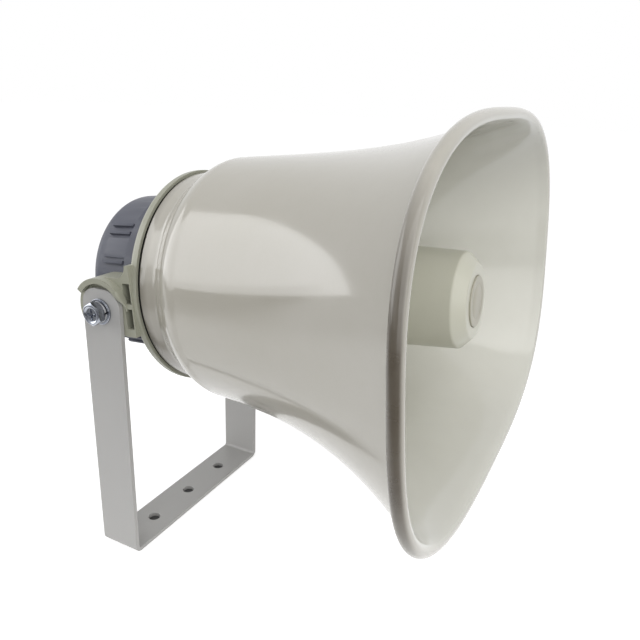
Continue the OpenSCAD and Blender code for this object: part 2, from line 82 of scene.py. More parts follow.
cam_right, cam_up, cam_back = camera_axes(AZIMUTH, ELEVATION, ROLL)
cam_place = (cam_back * BACKWARD + cam_right * ASIDE + cam_up * ABOVE) * MM
cam_data = bpy.data.cameras.new("camera")
cam_data.sensor_width = SENSOR
cam_data.lens = FOCAL * SENSOR / PICTURE
cam_data.clip_start = 0.01
camera = bpy.data.objects.new("camera", cam_data)
bpy.context.scene.collection.objects.link(camera)
matrix = np.eye(4)
matrix[:3, 0], matrix[:3, 1], matrix[:3, 2], matrix[:3, 3] = cam_right, cam_up, cam_back, cam_place
camera.matrix_world = Matrix(matrix.tolist())
bpy.context.scene.camera = camera
print("lens", round(cam_data.lens, 2), "mm, camera at", np.round(cam_place, 3).tolist())

# %% [markdown]
# ## Shader maths that reads like sums
#
# A node tree is a sum written with wires. `Wire` holds one output socket, and its
# operators add the Math node that does the sum, so `1 - mask * 0.3` is two nodes.
# `Finish` is one material: it makes any other node from a type, its settings and
# what goes into its sockets, and it ends in the Principled shader.

# %% Wires and finishes
class Wire:
    """One output socket, with operators that add Math nodes."""

    def __init__(self, finish, socket):
        self.finish, self.socket = finish, socket

    def maths(self, operation, a, b, clamp=False):
        settings = {"operation": operation, "use_clamp": clamp}
        return self.finish.node("ShaderNodeMath", settings, {0: a, 1: b})

    def __add__(self, other):
        return self.maths("ADD", self, other)

    __radd__ = __add__

    def __sub__(self, other):
        return self.maths("SUBTRACT", self, other)

    def __rsub__(self, other):
        return self.maths("SUBTRACT", other, self)

    def __mul__(self, other):
        return self.maths("MULTIPLY", self, other)

    def over(self, low, high):
        """0 below low and 1 above high, with a soft step between."""
        return self.finish.node("ShaderNodeMapRange", {"interpolation_type": "SMOOTHSTEP"},
                                {"Value": self, "From Min": low, "From Max": high})

    def clamped(self):
        return self.maths("ADD", self, 0.0, clamp=True)


class Finish:
    """A material whose nodes are made one call at a time."""

    def __init__(self, name):
        self.material = bpy.data.materials.new(name)
        self.material.use_nodes = True
        self.tree = self.material.node_tree
        self.tree.nodes.clear()

    def node(self, kind, settings=None, sockets=None, out=0):
        """Makes a node: its settings first, then values or wires into its sockets."""
        n = self.tree.nodes.new(kind)
        for key, value in (settings or {}).items():
            setattr(n, key, value)
        for key, value in (sockets or {}).items():
            if isinstance(value, Wire):
                self.tree.links.new(value.socket, n.inputs[key])
            else:
                if isinstance(value, tuple) and n.inputs[key].type == "RGBA" and len(value) == 3:
                    value = (*value, 1.0)
                n.inputs[key].default_value = value
        return Wire(self, n.outputs[out])

    def place(self, scale=(1, 1, 1)):
        """Object coordinates; a scale above 1 along an axis makes a pattern finer that way."""
        here = self.node("ShaderNodeTexCoord", out="Object")
        return self.node("ShaderNodeMapping", {"vector_type": "POINT"},
                         {"Vector": here, "Scale": scale})

    def noise(self, where, scale, detail=2.0, rough=0.5):
        return self.node("ShaderNodeTexNoise", None,
                         {"Vector": where, "Scale": scale, "Detail": detail, "Roughness": rough})

    def cells(self, where, scale):
        """Distance to the nearest of many scattered points: 0 at each point."""
        return self.node("ShaderNodeTexVoronoi", {"feature": "F1"},
                         {"Vector": where, "Scale": scale})

    def axis_part(self, where, axis):
        return self.node("ShaderNodeSeparateXYZ", None, {0: where}, out="XYZ".index(axis))

    def blend(self, factor, first, second):
        """Mixes two colours by a factor; sockets 6 and 7 and output 2 are those for colours."""
        return self.node("ShaderNodeMix", {"data_type": "RGBA"},
                         {0: factor, 6: first, 7: second}, out=2)

    def attribute(self, name):
        return self.node("ShaderNodeAttribute", {"attribute_name": name}, out="Fac")

    def shader(self, bump=None, distance=0.0, strength=1.0, **sockets):
        """The Principled shader with an optional bump, and the material's output."""
        names = {key.replace("_", " ").title().replace("Ior", "IOR"): value
                 for key, value in sockets.items()}
        if bump is not None:
            names["Normal"] = self.node("ShaderNodeBump", None, {
                "Height": bump, "Distance": distance, "Strength": strength})
        surface = self.node("ShaderNodeBsdfPrincipled", None, names)
        end = self.tree.nodes.new("ShaderNodeOutputMaterial")
        self.tree.links.new(surface.socket, end.inputs[0])
        return self.material


print("wires ready:", [m for m in dir(Finish) if not m.startswith("_")])

# %% [markdown]
# ## The glossy bell plastic
#
# The bell is moulded in an off-white weatherproof plastic with a polished skin.
# Up close such a skin is never even: it has long soft waves where the wall cooled,
# a faint mottle of pigment, fine specks of dust, and wiped patches that shine more.
# Long waves go into the bump, and the wiping into the roughness. Shade is painted on
# by place: a dark band on the sides of the rim bead, a line by the gasket and a collar
# darker underneath. The inside of the mouth is painted lighter, as painted light.

# %% Bell plastic
def moulded_gloss(name, colour, shade, inner, grime, rough, mottle=0.8):
    """Polished moulding: pigment mottle, wiped patches, painted light and shade, long cooling
    waves.
    """
    f = Finish(name)
    here = f.place()
    cloud = f.noise(here, 24.0, 4.0, 0.62)
    grain = f.noise(here, 900.0, 2.0)
    wiped = f.noise(f.place(scale=(1.0, 1.0, 2.2)), 22.0, 4.0, 0.6).over(0.40, 0.66)
    speck = 1 - f.cells(here, 160.0).over(0.018, 0.05)
    tone = (cloud - 0.5) * mottle + (grain - 0.5) * 0.3 + 0.5
    paint = f.blend(tone.clamped(), shade, colour)
    # Painted light: the inside of the mouth gets a lighter paint, for the light that fills the
    # mouth.
    paint = f.blend(f.attribute("inside") * (cloud * 0.3 + 0.8).clamped(), paint, inner)
    paint = f.blend(speck * 0.18 * wiped, paint, tuple(c * 0.55 for c in shade))
    # Painted shade by place, from the mesh's attribute: the colour darkens and the skin is rougher
    # there.
    painted_shade_mask = f.attribute("grime") * (f.noise(here, 60.0, 3.0) * 0.3 + 0.78)
    paint = f.blend(painted_shade_mask.clamped(), paint, grime)
    waves = f.noise(here, 9.0, 1.0) * 0.8 + f.noise(here, 260.0, 2.0) * 0.012 + grain * 0.003
    return f.shader(base_color=paint, roughness=rough + wiped * 0.05 + grain * 0.03 + painted_shade_mask * 0.15,
                    coat_weight=0.25, coat_roughness=0.06,
                    bump=waves, distance=0.0009, strength=0.5)


# The third colour is the lighter paint of the inside, painted light; the fourth is the painted
# shade.
bell_plastic = moulded_gloss("bell_plastic", (0.512, 0.489, 0.44), (0.458, 0.438, 0.372),
                             (0.67, 0.665, 0.60), (0.10, 0.082, 0.06), 0.09)
print("made", bell_plastic.name)

# %% [markdown]
# ## The other plastics
#
# The flange ring and the throat parts are moulded too, but in satin tools: their
# skin carries an even spark texture, so highlights spread. The rear cover has the
# same texture in blue-grey. One function with a few numbers gives them all, which
# keeps their scale the same.

# %% Satin plastics
def moulded_satin(name, colour, shade, rough, texture=1400.0, depth=0.00003, dust=0.1, shine=0.5):
    """Spark-textured moulding: cell bumps, a slow drift of tone and dust on faces that look up."""
    f = Finish(name)
    here = f.place()
    drift = f.noise(here, 35.0, 3.0)
    pits = f.cells(here, texture)
    up = f.axis_part(f.node("ShaderNodeNewGeometry", out="Normal"), "Z")
    paint = f.blend(((drift - 0.5) * 0.9 + 0.5).clamped(), shade, colour)
    lying = up.over(0.25, 0.95) * f.noise(here, 120.0, 4.0).over(0.35, 0.75) * dust
    paint = f.blend(lying, paint, (0.62, 0.60, 0.56))
    # Painted shade where the mesh's attribute asks for it, such as the ring's pockets.
    paint = f.blend((f.attribute("grime") * 0.85).clamped(), paint, tuple(c * 0.22 for c in shade))
    skin = pits * 0.7 + f.noise(here, texture * 0.4, 2.0)
    return f.shader(base_color=paint, roughness=rough + drift * 0.08 + lying * 0.3,
                    bump=skin, distance=depth, strength=0.6, specular_ior_level=shine)


ring_plastic = moulded_satin("ring_plastic", (0.40, 0.402, 0.325), (0.35, 0.352, 0.28), 0.32,
                             dust=0.04)
throat_plastic = moulded_satin("throat_plastic", (0.61, 0.605, 0.51), (0.56, 0.555, 0.46), 0.27)
cap_plastic = moulded_satin("cap_plastic", (0.44, 0.42, 0.34), (0.39, 0.37, 0.295), 0.3)
cover_plastic = moulded_satin("cover_plastic", (0.138, 0.145, 0.176), (0.11, 0.115, 0.142), 0.38,
                              dust=0.0, shine=0.15)
black_plastic = moulded_satin("black_plastic", (0.035, 0.035, 0.038), (0.022, 0.022, 0.024), 0.42)
print("satin plastics ready")

# %% [markdown]
# ## Paint on the bracket
#
# The bracket is steel strap under a light grey coat. Sprayed powder melts into a
# skin with shallow dimples about a millimetre apart, called orange peel, and the
# coat is thinner on the bends. It scuffs where it is handled, so soft long scratches
# run along it and the tone changes a little.

# %% Bracket paint
def powder_coat(name, colour, shade):
    """Orange peel at 1 mm, a slow drift of tone and fine scuffs drawn out along the strap."""
    f = Finish(name)
    here = f.place()
    peel = f.noise(here, 850.0, 1.0) + f.noise(here, 330.0, 1.0) * 0.8
    drift = f.noise(here, 18.0, 3.0)
    scuff = f.noise(f.place(scale=(6.0, 6.0, 0.5)), 60.0, 3.0, 0.7).over(0.60, 0.78)
    spot = 1 - f.cells(here, 95.0).over(0.012, 0.05)
    paint = f.blend(((drift - 0.5) * 0.8 + 0.5).clamped(), shade, colour)
    paint = f.blend(scuff * 0.22, paint, tuple(min(1.0, c * 1.22) for c in colour))
    paint = f.blend(spot * 0.35, paint, (0.2, 0.19, 0.17))
    return f.shader(base_color=paint, roughness=0.42 + scuff * 0.12 + drift * 0.06,
                    bump=peel, distance=0.00005, strength=0.5)


bracket_paint = powder_coat("bracket_paint", (0.475, 0.47, 0.46), (0.435, 0.43, 0.42))
print("made", bracket_paint.name)

# %% [markdown]
# ## Bright and plain metals
#
# Zinc plated bolts are bright with a slight cloudiness, and tiny scratches in the
# plating catch the light. Brass, copper and the die-cast plate differ in colour and
# in how coarse the surface is. A metal's colour is its reflection, so the base
# colour stays high, and the roughness carries most of the look.

# %% Metals
def plated(name, colour, tint, rough, streak=2500.0, depth=0.00001):
    """Metal with cloudy plating: tint in slow clouds, roughness in clouds and fine scratches."""
    f = Finish(name)
    here = f.place()
    cloud = f.noise(here, 170.0, 4.0, 0.6)
    scratch = f.noise(f.place(scale=(1.0, 1.0, 14.0)), streak * 0.2, 3.0)
    paint = f.blend(cloud.over(0.3, 0.75), colour, tint)
    return f.shader(base_color=paint, metallic=1.0,
                    roughness=rough + cloud * 0.12 + scratch.over(0.45, 0.7) * 0.08,
                    bump=scratch + f.noise(here, streak, 2.0) * 0.4, distance=depth, strength=0.7)


zinc = plated("zinc", (0.40, 0.42, 0.46), (0.28, 0.30, 0.35), 0.12)
dull_zinc = plated("dull_zinc", (0.50, 0.50, 0.51), (0.42, 0.43, 0.45), 0.34)
brass = plated("brass", (0.78, 0.60, 0.28), (0.70, 0.52, 0.22), 0.25)
copper = plated("copper", (0.72, 0.36, 0.19), (0.62, 0.28, 0.14), 0.28)
die_cast = plated("die_cast", (0.54, 0.55, 0.56), (0.45, 0.46, 0.47), 0.42,
                  streak=1200.0, depth=0.00004)
ferrite = moulded_satin("ferrite", (0.06, 0.06, 0.064), (0.04, 0.04, 0.043), 0.5,
                        texture=700.0, depth=0.00006)
phenolic = moulded_satin("phenolic", (0.42, 0.22, 0.08), (0.34, 0.17, 0.055), 0.38, texture=2200.0)
rubber = moulded_satin("rubber", (0.012, 0.012, 0.011), (0.008, 0.008, 0.007), 0.6,
                       texture=900.0, depth=0.00004, dust=0.0, shine=0.15)
print("metals ready")

# %% [markdown]
# ## A finish for every solid
#
# Solids whose shape is already right stay as they are and only take a better
# finish. The table goes from the record's slot names to the finishes above.

# %% Finishes onto the solids
SLOT_FINISH = {
    "bracket_paint": bracket_paint, "bell_abs": bell_plastic, "ring_abs": ring_plastic,
    "horn_abs": throat_plastic, "cover_abs": cover_plastic, "dark_rubber": rubber,
    "black_plastic": black_plastic, "phenolic": phenolic, "copper": copper, "ferrite": ferrite,
    "steel": dull_zinc, "bolt_steel": zinc, "brass": brass, "die_cast": die_cast,
}
node_slot = {p["node"]: p["material_slot"] for p in frame["record"]["subparts"]}
for node_name, solid in frame["nodes"].items():
    solid.data.materials.clear()
    solid.data.materials.append(SLOT_FINISH[node_slot[node_name]])
print(len(node_slot), "solids finished with", len(set(node_slot.values())), "slots")

# %% [markdown]
# ## Surfaces from grids
#
# Most pieces below are one idea: a grid of points, computed as whole arrays, joined
# by four-sided faces. Where a direction closes on itself the last row joins the
# first, and a row that shrinks to a point is closed with a fan of triangles.

# %% Grid helper
def grid_faces(rows, cols, wrap_rows=False, wrap_cols=False):
    """Four corners of each cell; a wrapped direction joins its last line to its first."""
    i = np.arange(rows if wrap_rows else rows - 1)[:, None]
    j = np.arange(cols if wrap_cols else cols - 1)[None, :]
    k, l = (i + 1) % rows, (j + 1) % cols
    corners = [i * cols + j, i * cols + l, k * cols + l, k * cols + j]
    return np.stack([np.broadcast_to(c, (i.size, j.size)) for c in corners], -1).reshape(-1, 4)


def make_piece(name, points, faces, finish, body, sharp=40.0, layers=None):
    """Puts points and faces into a mesh, in metres, with its finish, and lets it ride on a body."""
    mesh = bpy.data.meshes.new(name)
    mesh.from_pydata(np.asarray(points, float) * MM, [], [list(map(int, f)) for f in faces])
    mesh.materials.append(finish)
    for key, values in (layers or {}).items():
        layer = mesh.attributes.new(key, "FLOAT", "POINT")
        layer.data.foreach_set("value", np.asarray(values, np.float32).ravel())
    mesh.shade_smooth()
    mesh.set_sharp_from_angle(angle=math.radians(sharp))
    piece = bpy.data.objects.new(name, mesh)
    bpy.context.scene.collection.objects.link(piece)
    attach(piece, body)
    return piece


def sheet_faces(rows, cols, flip):
    """Faces of a grid that wraps round its columns, with a fan to one more point at either end."""
    j, after = np.arange(cols), (np.arange(cols) + 1) % cols
    first_tip, last_row = rows * cols, (rows - 1) * cols
    first_fan = np.stack([np.full(cols, first_tip), after, j], -1)
    last_fan = np.stack([np.full(cols, first_tip + 1), last_row + j, last_row + after], -1)
    faces = grid_faces(rows, cols, wrap_cols=True).tolist() + first_fan.tolist() + last_fan.tolist()
    return [f[::-1] for f in faces] if flip else faces


print("a 3 by 4 grid has", len(grid_faces(3, 4)), "faces")

# %% [markdown]
# ## The horn's own frame
#
# The horn hangs on two bolts and looks up a little at rest. Its pieces are worked
# out in the horn's frame, with s forward from the bolts, y sideways and z up, and
# one turn puts them into the frame of the whole object.

# %% Horn frame
BOLT_H, REST_TILT, AXIS_RISE = 175.0, math.radians(4.7), 7.0


def to_world(s, y, z):
    """s and z are turned up by the rest tilt about the bolts, which lie BOLT_H above the base."""
    s, y, z = np.broadcast_arrays(s, y, z)
    x = s * np.cos(REST_TILT) - z * np.sin(REST_TILT)
    up = BOLT_H + s * np.sin(REST_TILT) + z * np.cos(REST_TILT)
    return np.stack([x, y, up], -1)


def lathe(profile, cols):
    """Turns a profile of (s, r) about the axis: y = r cos(angle), z = AXIS_RISE + r sin(angle)."""
    s, r = np.asarray(profile, float).T[:, :, None]
    angle = np.linspace(0, 2 * np.pi, cols, endpoint=False)
    return to_world(s, r * np.cos(angle), AXIS_RISE + r * np.sin(angle))


def arc(centre_s, centre_r, radius, start, stop, count):
    """Points (s, r) along a circle's arc; angles in degrees, 0 forward and 90 outward."""
    f = np.radians(np.linspace(start, stop, count))
    return np.stack([centre_s + radius * np.cos(f), centre_r + radius * np.sin(f)], -1)


print("mouth's middle lies at", np.round(to_world(224.0, 0.0, AXIS_RISE), 1).tolist(), "mm")

# %% [markdown]
# ## The bell
#
# The bell starts as a round collar, swells over a convex shoulder and flares into
# a rounded rectangle. It could be sculpted or lofted by a modifier, but a formula
# keeps it true: at each place along the axis a half width, a half height and a
# squareness give one closed curve, and one long profile runs along the outside,
# round the rolled bead and back along the inside.

# %% Bell
FLANGE_R, FLANGE_FRONT, GASKET_T = 70.8, 26.0, 1.5
MOUTH_A, MOUTH_B, REACH, SQUARE = 155.0, 102.5, 224.0, 2.9
BELL_T, RIM_R = 2.8, 3.4
COLLAR_R = FLANGE_R - 1.3
BELL_BACK = FLANGE_FRONT + GASKET_T
COLLAR_END = BELL_BACK + 13.0
SHOULDER_L, SHOULDER_RISE, CREASE = 20.0, 9.5, 3.0
BODY_START = COLLAR_END + SHOULDER_L
BODY_R = COLLAR_R + SHOULDER_RISE
# How far the body spreads evenly, in mm, and the power that its further spreading follows.
SIDE_SPREAD, SIDE_POWER, TOP_SPREAD, TOP_POWER = 34.0, 2.7, 5.2, 3.5
BEAD_S = REACH - RIM_R
BODY_END = BEAD_S - RIM_R * 0.6
BEAD_ROWS, INNER_ROW = 27, 20


def body_half(t, mouth, straight, power):
    """Half size at share t of the body: a straight part and a power of t up to the mouth."""
    rest = mouth - RIM_R * 1.5 - BODY_R - straight
    return BODY_R + straight * t + rest * t ** power


def bell_stations():
    """Rows of (s, half width, half height, squareness) along the outside, the bead and the inside.

    The shoulder rises as a sine. Its crease with the collar is a parabola, which goes from
    level to the slope at which the sine starts.
    """
    t = np.linspace(0, 1, 61)
    s = BODY_START + (BODY_END - BODY_START) * t
    a = body_half(t, MOUTH_A, SIDE_SPREAD, SIDE_POWER)
    b = body_half(t, MOUTH_B, TOP_SPREAD, TOP_POWER)
    n = 2 + (SQUARE - 2) * t ** 1.5
    body = np.stack([s, a, b, n], -1)
    u = np.linspace(0.2, 1, 14)[:-1]
    swell = COLLAR_R + SHOULDER_RISE * np.sin(np.pi * u / 2)
    v = np.linspace(-CREASE, CREASE, 10)
    slope = SHOULDER_RISE * np.pi / (2 * SHOULDER_L)
    crease = COLLAR_R + slope / (4 * CREASE) * (v + CREASE) ** 2
    along, swell = np.concatenate([v, SHOULDER_L * u]), np.concatenate([crease, swell])
    shoulder = np.stack([COLLAR_END + along, swell, swell, np.full_like(along, 2.0)], -1)
    edge = arc(BELL_BACK + 0.8, COLLAR_R - 0.8, 0.8, 180, 90, 5)
    collar = np.concatenate([[[BELL_BACK, COLLAR_R - 5]], edge, [[COLLAR_END - 7, COLLAR_R]]])
    collar = np.stack([collar[:, 0], collar[:, 1], collar[:, 1], np.full(len(collar), 2.0)], -1)
    f = np.radians(np.linspace(155, -50, BEAD_ROWS))
    drop = RIM_R * np.sin(f) - RIM_R
    bead = np.stack([BEAD_S + RIM_R * np.cos(f), MOUTH_A + drop, MOUTH_B + drop,
                     np.full_like(f, SQUARE)], -1)
    inner_body = (body - [0, BELL_T, BELL_T, 0])[::-1]
    inner_shoulder = (shoulder + [BELL_T * 0.3, -BELL_T, -BELL_T, 0])[::-1]
    r_in = COLLAR_R - BELL_T
    inner_collar = np.array([[COLLAR_END, r_in, r_in, 2.0], [BELL_BACK + 3, r_in, r_in, 2.0],
                             [BELL_BACK + 3, COLLAR_R - 5, COLLAR_R - 5, 2.0]])
    return np.concatenate([collar, shoulder, body, bead, inner_body, inner_shoulder, inner_collar])


def bell_surface(cols=320):
    """Each station is a superellipse: the radius at an angle is (|cos/a|^n + |sin/b|^n)^(-1/n)."""
    s, a, b, n = [c[:, None] for c in bell_stations().T]
    u = np.linspace(0, 2 * np.pi, cols, endpoint=False)[None, :]
    q = (np.abs(np.cos(u) / a) ** n + np.abs(np.sin(u) / b) ** n) ** (-1 / n)
    return to_world(s, q * np.cos(u), AXIS_RISE + q * np.sin(u))


def body_end_row(stations):
    """The body's last row, where the bead begins."""
    return np.argmax(stations[:, 0] > BEAD_S - RIM_R * 0.95)


def bell_inside_light(cols=320):
    """The inside's painted light: 1 on the wall inside the mouth, 0 outside, soft over the bead's
    front.
    """
    stations = bell_stations()
    row = np.arange(len(stations)) - body_end_row(stations)
    return np.clip((row - INNER_ROW) / 6.0, 0, 1)[:, None] * np.ones(cols)


def bell_grime(cols=320):
    """Painted shade by place: full on the bead's outer face where it stands upright, some on the
    collar.

    Along the profile it is a smooth hump over the bead's arc. Round the rim it goes with the
    share of the outline that looks sideways. A line of it lies by the gasket, and a thin film of
    it on the collar, thickest underneath, where the sine of the angle is low.
    """
    stations = bell_stations()
    row = np.arange(len(stations))
    end = body_end_row(stations)
    outside = row < end
    # The bead's band of painted shade, along its arc and only on the sides of the rim.
    along = np.clip((row - end) / 3.0, 0, 1) * np.clip((end + 18.5 - row) / 4.0, 0, 1)
    u = np.linspace(0, 2 * np.pi, cols, endpoint=False)
    sideways = np.clip((np.abs(np.cos(u)) - 0.82) / 0.16, 0, 1)
    # Painted shade in the crease by the gasket, and on the collar, darker underneath.
    gasket = np.clip(1 - (stations[:, 0] - BELL_BACK) / 4.0, 0, 1) * outside * 0.5
    under = np.clip(0.55 - 0.9 * np.sin(u - 0.12), 0, 1)
    collar_shade = np.clip(1 - (stations[:, 0] - COLLAR_END + 2) / 16.0, 0, 1) * outside * 0.55
    return along[:, None] * sideways + gasket[:, None] + collar_shade[:, None] * under


bell_points = bell_surface()
rows, cols = bell_points.shape[:2]
# The mesh carries the painted shade and the mask for the inside's painted light.
bell_shell = make_piece("bell_shell", bell_points.reshape(-1, 3),
                        grid_faces(rows, cols, True, True), bell_plastic, "horn", sharp=50,
                        layers={"grime": bell_grime(), "inside": bell_inside_light()})
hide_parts("bell")
print("bell", rows, "by", cols, "points")

# %% [markdown]
# ## The reflector cup
#
# The cup stands on the horn's axis and turns the sound round. It is a turned shape:
# a slightly conical side, a chamfer and a flat front with a shallow seat for a thin
# round cap. Its edges are rounded by short arcs in the profile, since a moulded edge
# is never sharp and the small curve is what catches the light.

# %% Cup and cap
CUP_R, CUP_BACK_R, CUP_CHAMFER, CAP_R, SEAT = 27.5, 34.0, 6.6, 14.5, 1.5
CUP_FRONT = REACH - 14.0
DISC_FRONT = BELL_BACK + 3.0
CUP_BACK = DISC_FRONT + 32.0


def rounded(corners, radius, count=6):
    """A closed run of (s, r) corners, each one rounded by a curve of count points.

    The curve is (1 - t)^2 p + 2 t (1 - t) c + t^2 q, from p before the corner c to q after it.
    """
    c = np.asarray(corners, float)
    before, after = np.roll(c, 1, 0) - c, np.roll(c, -1, 0) - c
    size_b, size_a = np.linalg.norm(before, axis=1), np.linalg.norm(after, axis=1)
    cut = np.minimum(np.asarray(radius, float), 0.45 * np.minimum(size_b, size_a))
    t = np.linspace(0, 1, count)[None, :, None]
    p = (c + before / size_b[:, None] * cut[:, None])[:, None]
    q = (c + after / size_a[:, None] * cut[:, None])[:, None]
    return ((1 - t) ** 2 * p + 2 * t * (1 - t) * c[:, None] + t ** 2 * q).reshape(-1, 2)


def cup_profile():
    """Outside from the back edge to the front, the seat of the cap, and back along the inside."""
    edge, wall, seat_r, seat = CUP_FRONT - CUP_CHAMFER, 2.4, CAP_R + 0.25, CUP_FRONT - SEAT
    corners = [(CUP_BACK, CUP_BACK_R - wall), (CUP_BACK, CUP_BACK_R), (edge, CUP_R),
               (CUP_FRONT, CUP_R - CUP_CHAMFER), (CUP_FRONT, seat_r), (seat, seat_r),
               (seat, 3.0), (CUP_FRONT - 4, 3.0), (CUP_FRONT - 4, 6.0),
               (CUP_FRONT - wall - 1, CUP_R - CUP_CHAMFER - wall), (edge, CUP_R - wall)]
    return rounded(corners, [0.6, 1.2, 1.1, 0.9, 0.3, 0.1, 0.1, 0.1, 0.1, 1.0, 1.0])


cup_points = lathe(cup_profile(), 160)
rows, cols = cup_points.shape[:2]
cup_shell = make_piece("cup_shell", cup_points.reshape(-1, 3), grid_faces(rows, cols, True, True),
                       throat_plastic, "horn")
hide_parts("reflector_cup")

groove = [[0.78, 10.2], [0.62, 9.9], [0.62, 9.5], [0.78, 9.2], [0.8, 1.0]]
cap_profile = np.concatenate([[[CUP_FRONT - SEAT, 1.0], [CUP_FRONT - SEAT, CAP_R]],
                              arc(CUP_FRONT + 0.35, CAP_R - 0.45, 0.45, 90, 0, 6),
                              np.array(groove) + [CUP_FRONT, 0.0]])
cap_rows, cap_cols = len(cap_profile), 96
cap_points = lathe(cap_profile, cap_cols).reshape(-1, 3)
poles = to_world(cap_profile[[0, -1], 0], 0.0, AXIS_RISE)
cup_disc = make_piece("cup_disc", np.concatenate([cap_points, poles]),
                      sheet_faces(cap_rows, cap_cols, False), cap_plastic, "horn")
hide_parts("cup_cap")
print("cup rows", rows, "cap rows", cap_rows)

# %% [markdown]
# ## Softened copies of the complex solids
#
# The bracket, the flange ring and the rear cover are full of holes and steps that
# their solids already have right, but a solid's edges are perfectly sharp. A copy is
# welded, its flat parts are joined up again, and a small bevel rounds each edge, as
# paint or a moulding tool would.

# %% Softened copies
# The pockets' span along s and along z, and the depth at which their painted shade is full, in mm.
POCKET_S, POCKET_Z, POCKET_DEEP = (16.7, 22.3), (-10.5, 18.1), 7.0


def from_world(points):
    """The horn's s, y and z of points in metres: the opposite of to_world."""
    x, y, up = points[:, 0] / MM, points[:, 1] / MM, points[:, 2] / MM - BOLT_H
    s = x * np.cos(REST_TILT) + up * np.sin(REST_TILT)
    return s, y, up * np.cos(REST_TILT) - x * np.sin(REST_TILT)


def pocket_grime(points):
    """Painted shade in the pockets of the ears: none at the ear's face, full at POCKET_DEEP under
    it.
    """
    s, y, z = from_world(points)
    inside = (s > POCKET_S[0]) & (s < POCKET_S[1]) & (z > POCKET_Z[0]) & (z < POCKET_Z[1])
    return inside * np.clip((FLANGE_R + 0.7 - np.abs(y)) / POCKET_DEEP, 0, 1)


def soften(node, name, width, segments=2, angle=30.0, grime=None):
    """Copies a solid, welds it, joins flat triangles into faces, and rounds edges by a bevel."""
    solid = frame["nodes"][node]
    mesh = solid.data.copy()
    mesh.name = name
    piece = bpy.data.objects.new(name, mesh)
    bpy.context.scene.collection.objects.link(piece)
    bm = bmesh.new()
    bm.from_mesh(mesh)
    bmesh.ops.remove_doubles(bm, verts=bm.verts, dist=2e-6)
    bmesh.ops.dissolve_limit(bm, angle_limit=math.radians(1.0), verts=bm.verts, edges=bm.edges)
    bm.to_mesh(mesh)
    bm.free()
    # An optional mask of painted shade, kept on the mesh's points.
    if grime is not None:
        places = np.empty(len(mesh.vertices) * 3, np.float32)
        mesh.vertices.foreach_get("co", places)
        layer = mesh.attributes.new("grime", "FLOAT", "POINT")
        layer.data.foreach_set("value", grime(places.reshape(-1, 3)).astype(np.float32))
    mesh.shade_smooth()
    mesh.set_sharp_from_angle(angle=math.radians(angle))
    bevel = piece.modifiers.new("edge", "BEVEL")
    bevel.width, bevel.segments, bevel.limit_method = width * MM, segments, "ANGLE"
    bevel.angle_limit, bevel.harden_normals = math.radians(angle), True
    bevel.use_clamp_overlap = True
    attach(piece, "bracket" if node == "bracket" else "horn")
    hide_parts(node)
    return piece


bracket_strap = soften("bracket", "bracket_strap", 0.45)
# The ring's pockets get painted shade, darker deeper in.
ring_moulding = soften("flange_ring", "ring_moulding", 0.45, grime=pocket_grime)
cover_moulding = soften("rear_cover", "cover_moulding", 0.4)
print("softened", [p.name for p in (bracket_strap, ring_moulding, cover_moulding)])

# %% [markdown]
# ## Where the hood runs out
#
# The hood over each arm doesn't end in a step. Its lower end runs on round the arm as
# a thin lip that sinks into the ear. Carried along the arc, its section keeps its
# inner edge and shrinks in height and width, so it is one small grid on each side.

# %% Hood ends
# The lip's inner radius, the height it starts with and how deep it sits in the ear, in mm.
HOOD_IN, HOOD_HIGH, SINK = 17.42, 5.35, 1.5
SIDES = ((1, "left"), (-1, "right"))


def hood_tail(side, from_deg=42.0, to_deg=2.0, rows=30):
    """A section on an arc about the bolt: its inner radius stays, its height falls as a cosine."""
    f = np.linspace(0, 1, rows)[:, None]
    turn = np.radians(from_deg + (to_deg - from_deg) * f)
    high = HOOD_HIGH * (0.5 + 0.5 * np.cos(np.pi * f)) + 0.12
    width = 3.3 * (1 - f) ** 1.4 + 0.7
    u = np.linspace(0, 2 * np.pi, 20, endpoint=False)
    square = (np.abs(np.cos(u)) ** 6 + np.abs(np.sin(u)) ** 6) ** (-1 / 6)
    reach = HOOD_IN + width / 2 * (1 + square * np.cos(u))
    level = FLANGE_R + 0.9 - SINK + (high + SINK) / 2 * (1 + square * np.sin(u))
    points = to_world(reach * np.cos(turn), side * level, reach * np.sin(turn))
    ends = to_world((reach * np.cos(turn)).mean(1)[[0, -1]], side * level.mean(1)[[0, -1]],
                    (reach * np.sin(turn)).mean(1)[[0, -1]])
    return np.concatenate([points.reshape(-1, 3), ends]), sheet_faces(rows, len(u), side > 0)


for side, word in SIDES:
    tail = make_piece("hood_tail_" + word, *hood_tail(side), ring_plastic, "horn", sharp=60)
print("hood tails fall", HOOD_HIGH, "mm over an arc of 40 degrees")

# %% [markdown]
# ## The tilt bolts
#
# Each bolt has a hexagon head with a dished top and a cross recess, so that a spanner
# or a driver fits. A modeller could cut the recess with a boolean, which leaves messy
# faces. Here the head is one grid: its side follows the hexagon, its corners are
# turned off by a cone, and the top is a height that the recess pushes down.

# %% Bolt heads
ARM_OUT, FACE_GAP = FLANGE_R + 1.2 + 3.0, 0.3
BOLT_AF, HEAD_T, FLAT_T, SPRING_T = 13.0, 5.0, 1.3, 1.9
HEAD_FROM = ARM_OUT + FACE_GAP + FLAT_T + SPRING_T


def hexagon_reach(angle, across):
    """Distance from the middle to a hexagon's side: half the width over cos within one sixth."""
    return across / 2 / np.cos((angle + np.pi / 6) % (np.pi / 3) - np.pi / 6)


def cross_depth(x, y, arm, width, depth):
    """Depth of a cross recess: deepest in the middle, shallower out to the ends, walls steep."""
    r = np.hypot(x, y)
    across = np.minimum(np.abs(x), np.abs(y))
    wall = np.clip((width / 2 - across) / 0.18, 0, 1)
    return depth * wall * np.clip((arm - r) / 0.3, 0, 1) * (1 - 0.55 * r / arm)


